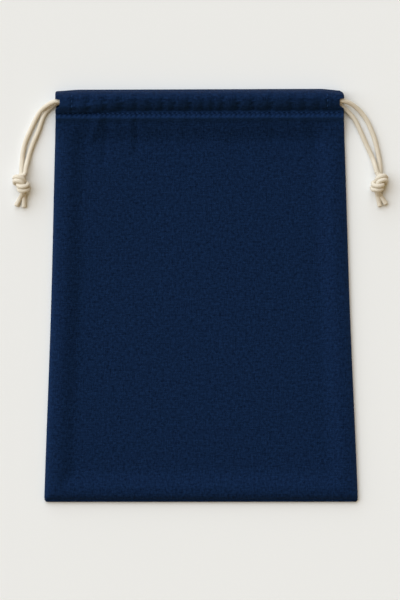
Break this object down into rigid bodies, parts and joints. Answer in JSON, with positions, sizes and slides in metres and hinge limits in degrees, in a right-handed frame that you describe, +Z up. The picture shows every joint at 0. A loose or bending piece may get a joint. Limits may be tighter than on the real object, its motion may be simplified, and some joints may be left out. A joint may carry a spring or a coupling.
{
  "type": "kinchaku drawstring pouch",
  "caption": "Flat cotton drawstring pouch with a hemmed cord casing at its mouth and round cords that leave both sides and end in overhand knots.",
  "frame": {"origin": "on the surface that the pouch lies on, under the middle of its cloth", "axes": "+X across the pouch, to the right of someone who looks down on it; +Y from its base to its mouth; +Z up, through its thickness"},
  "size_m": [0.2397, 0.263, 0.0106],
  "materials": {
    "cloth": "matte navy cotton sheeting",
    "cord": "ecru round cotton cord"
  },
  "bodies": {
    "root": {"front_panel": "cloth", "back_panel": "cloth", "drawcord_left": "cord", "drawcord_right": "cord", "knot_left": "cord", "knot_right": "cord"}
  },
  "joints": []
}
